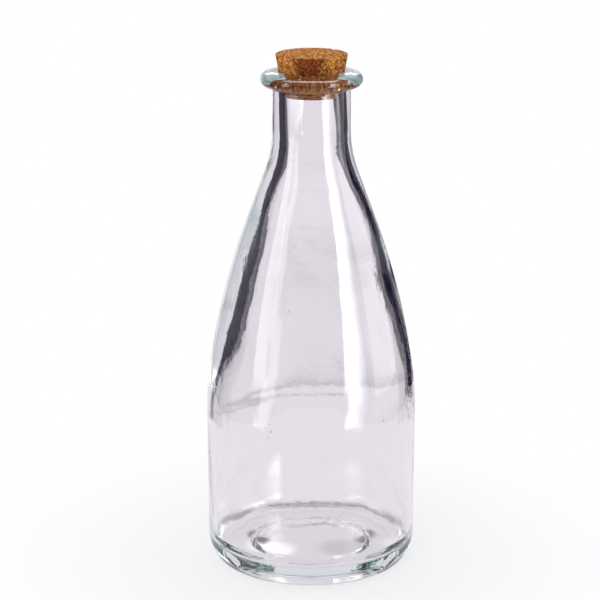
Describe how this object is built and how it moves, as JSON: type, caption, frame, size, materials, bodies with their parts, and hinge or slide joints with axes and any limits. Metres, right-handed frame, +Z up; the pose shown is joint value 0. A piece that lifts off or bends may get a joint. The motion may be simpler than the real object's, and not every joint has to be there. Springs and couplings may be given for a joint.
{
  "type": "corked glass bottle",
  "caption": "Clear glass bottle with a straight round body, a long sloping shoulder, a short neck with a rolled lip, and a tapered cork in its mouth. Empty.",
  "frame": {"origin": "on the bottle's axis, in the plane of its foot", "axes": "+Z up the axis from the foot to the cork; the bottle is the same all round"},
  "size_m": [0.086, 0.086, 0.2119],
  "materials": {
    "clear_glass": "clear moulded glass, very faintly blue-green where it is thick, fire-polished and slightly wavy inside",
    "cork": "matt pressed cork granules with dark pits, golden brown to dark brown"
  },
  "bodies": {
    "root": {"glass_bottle": "clear_glass", "cork_stopper": "cork"}
  },
  "joints": []
}
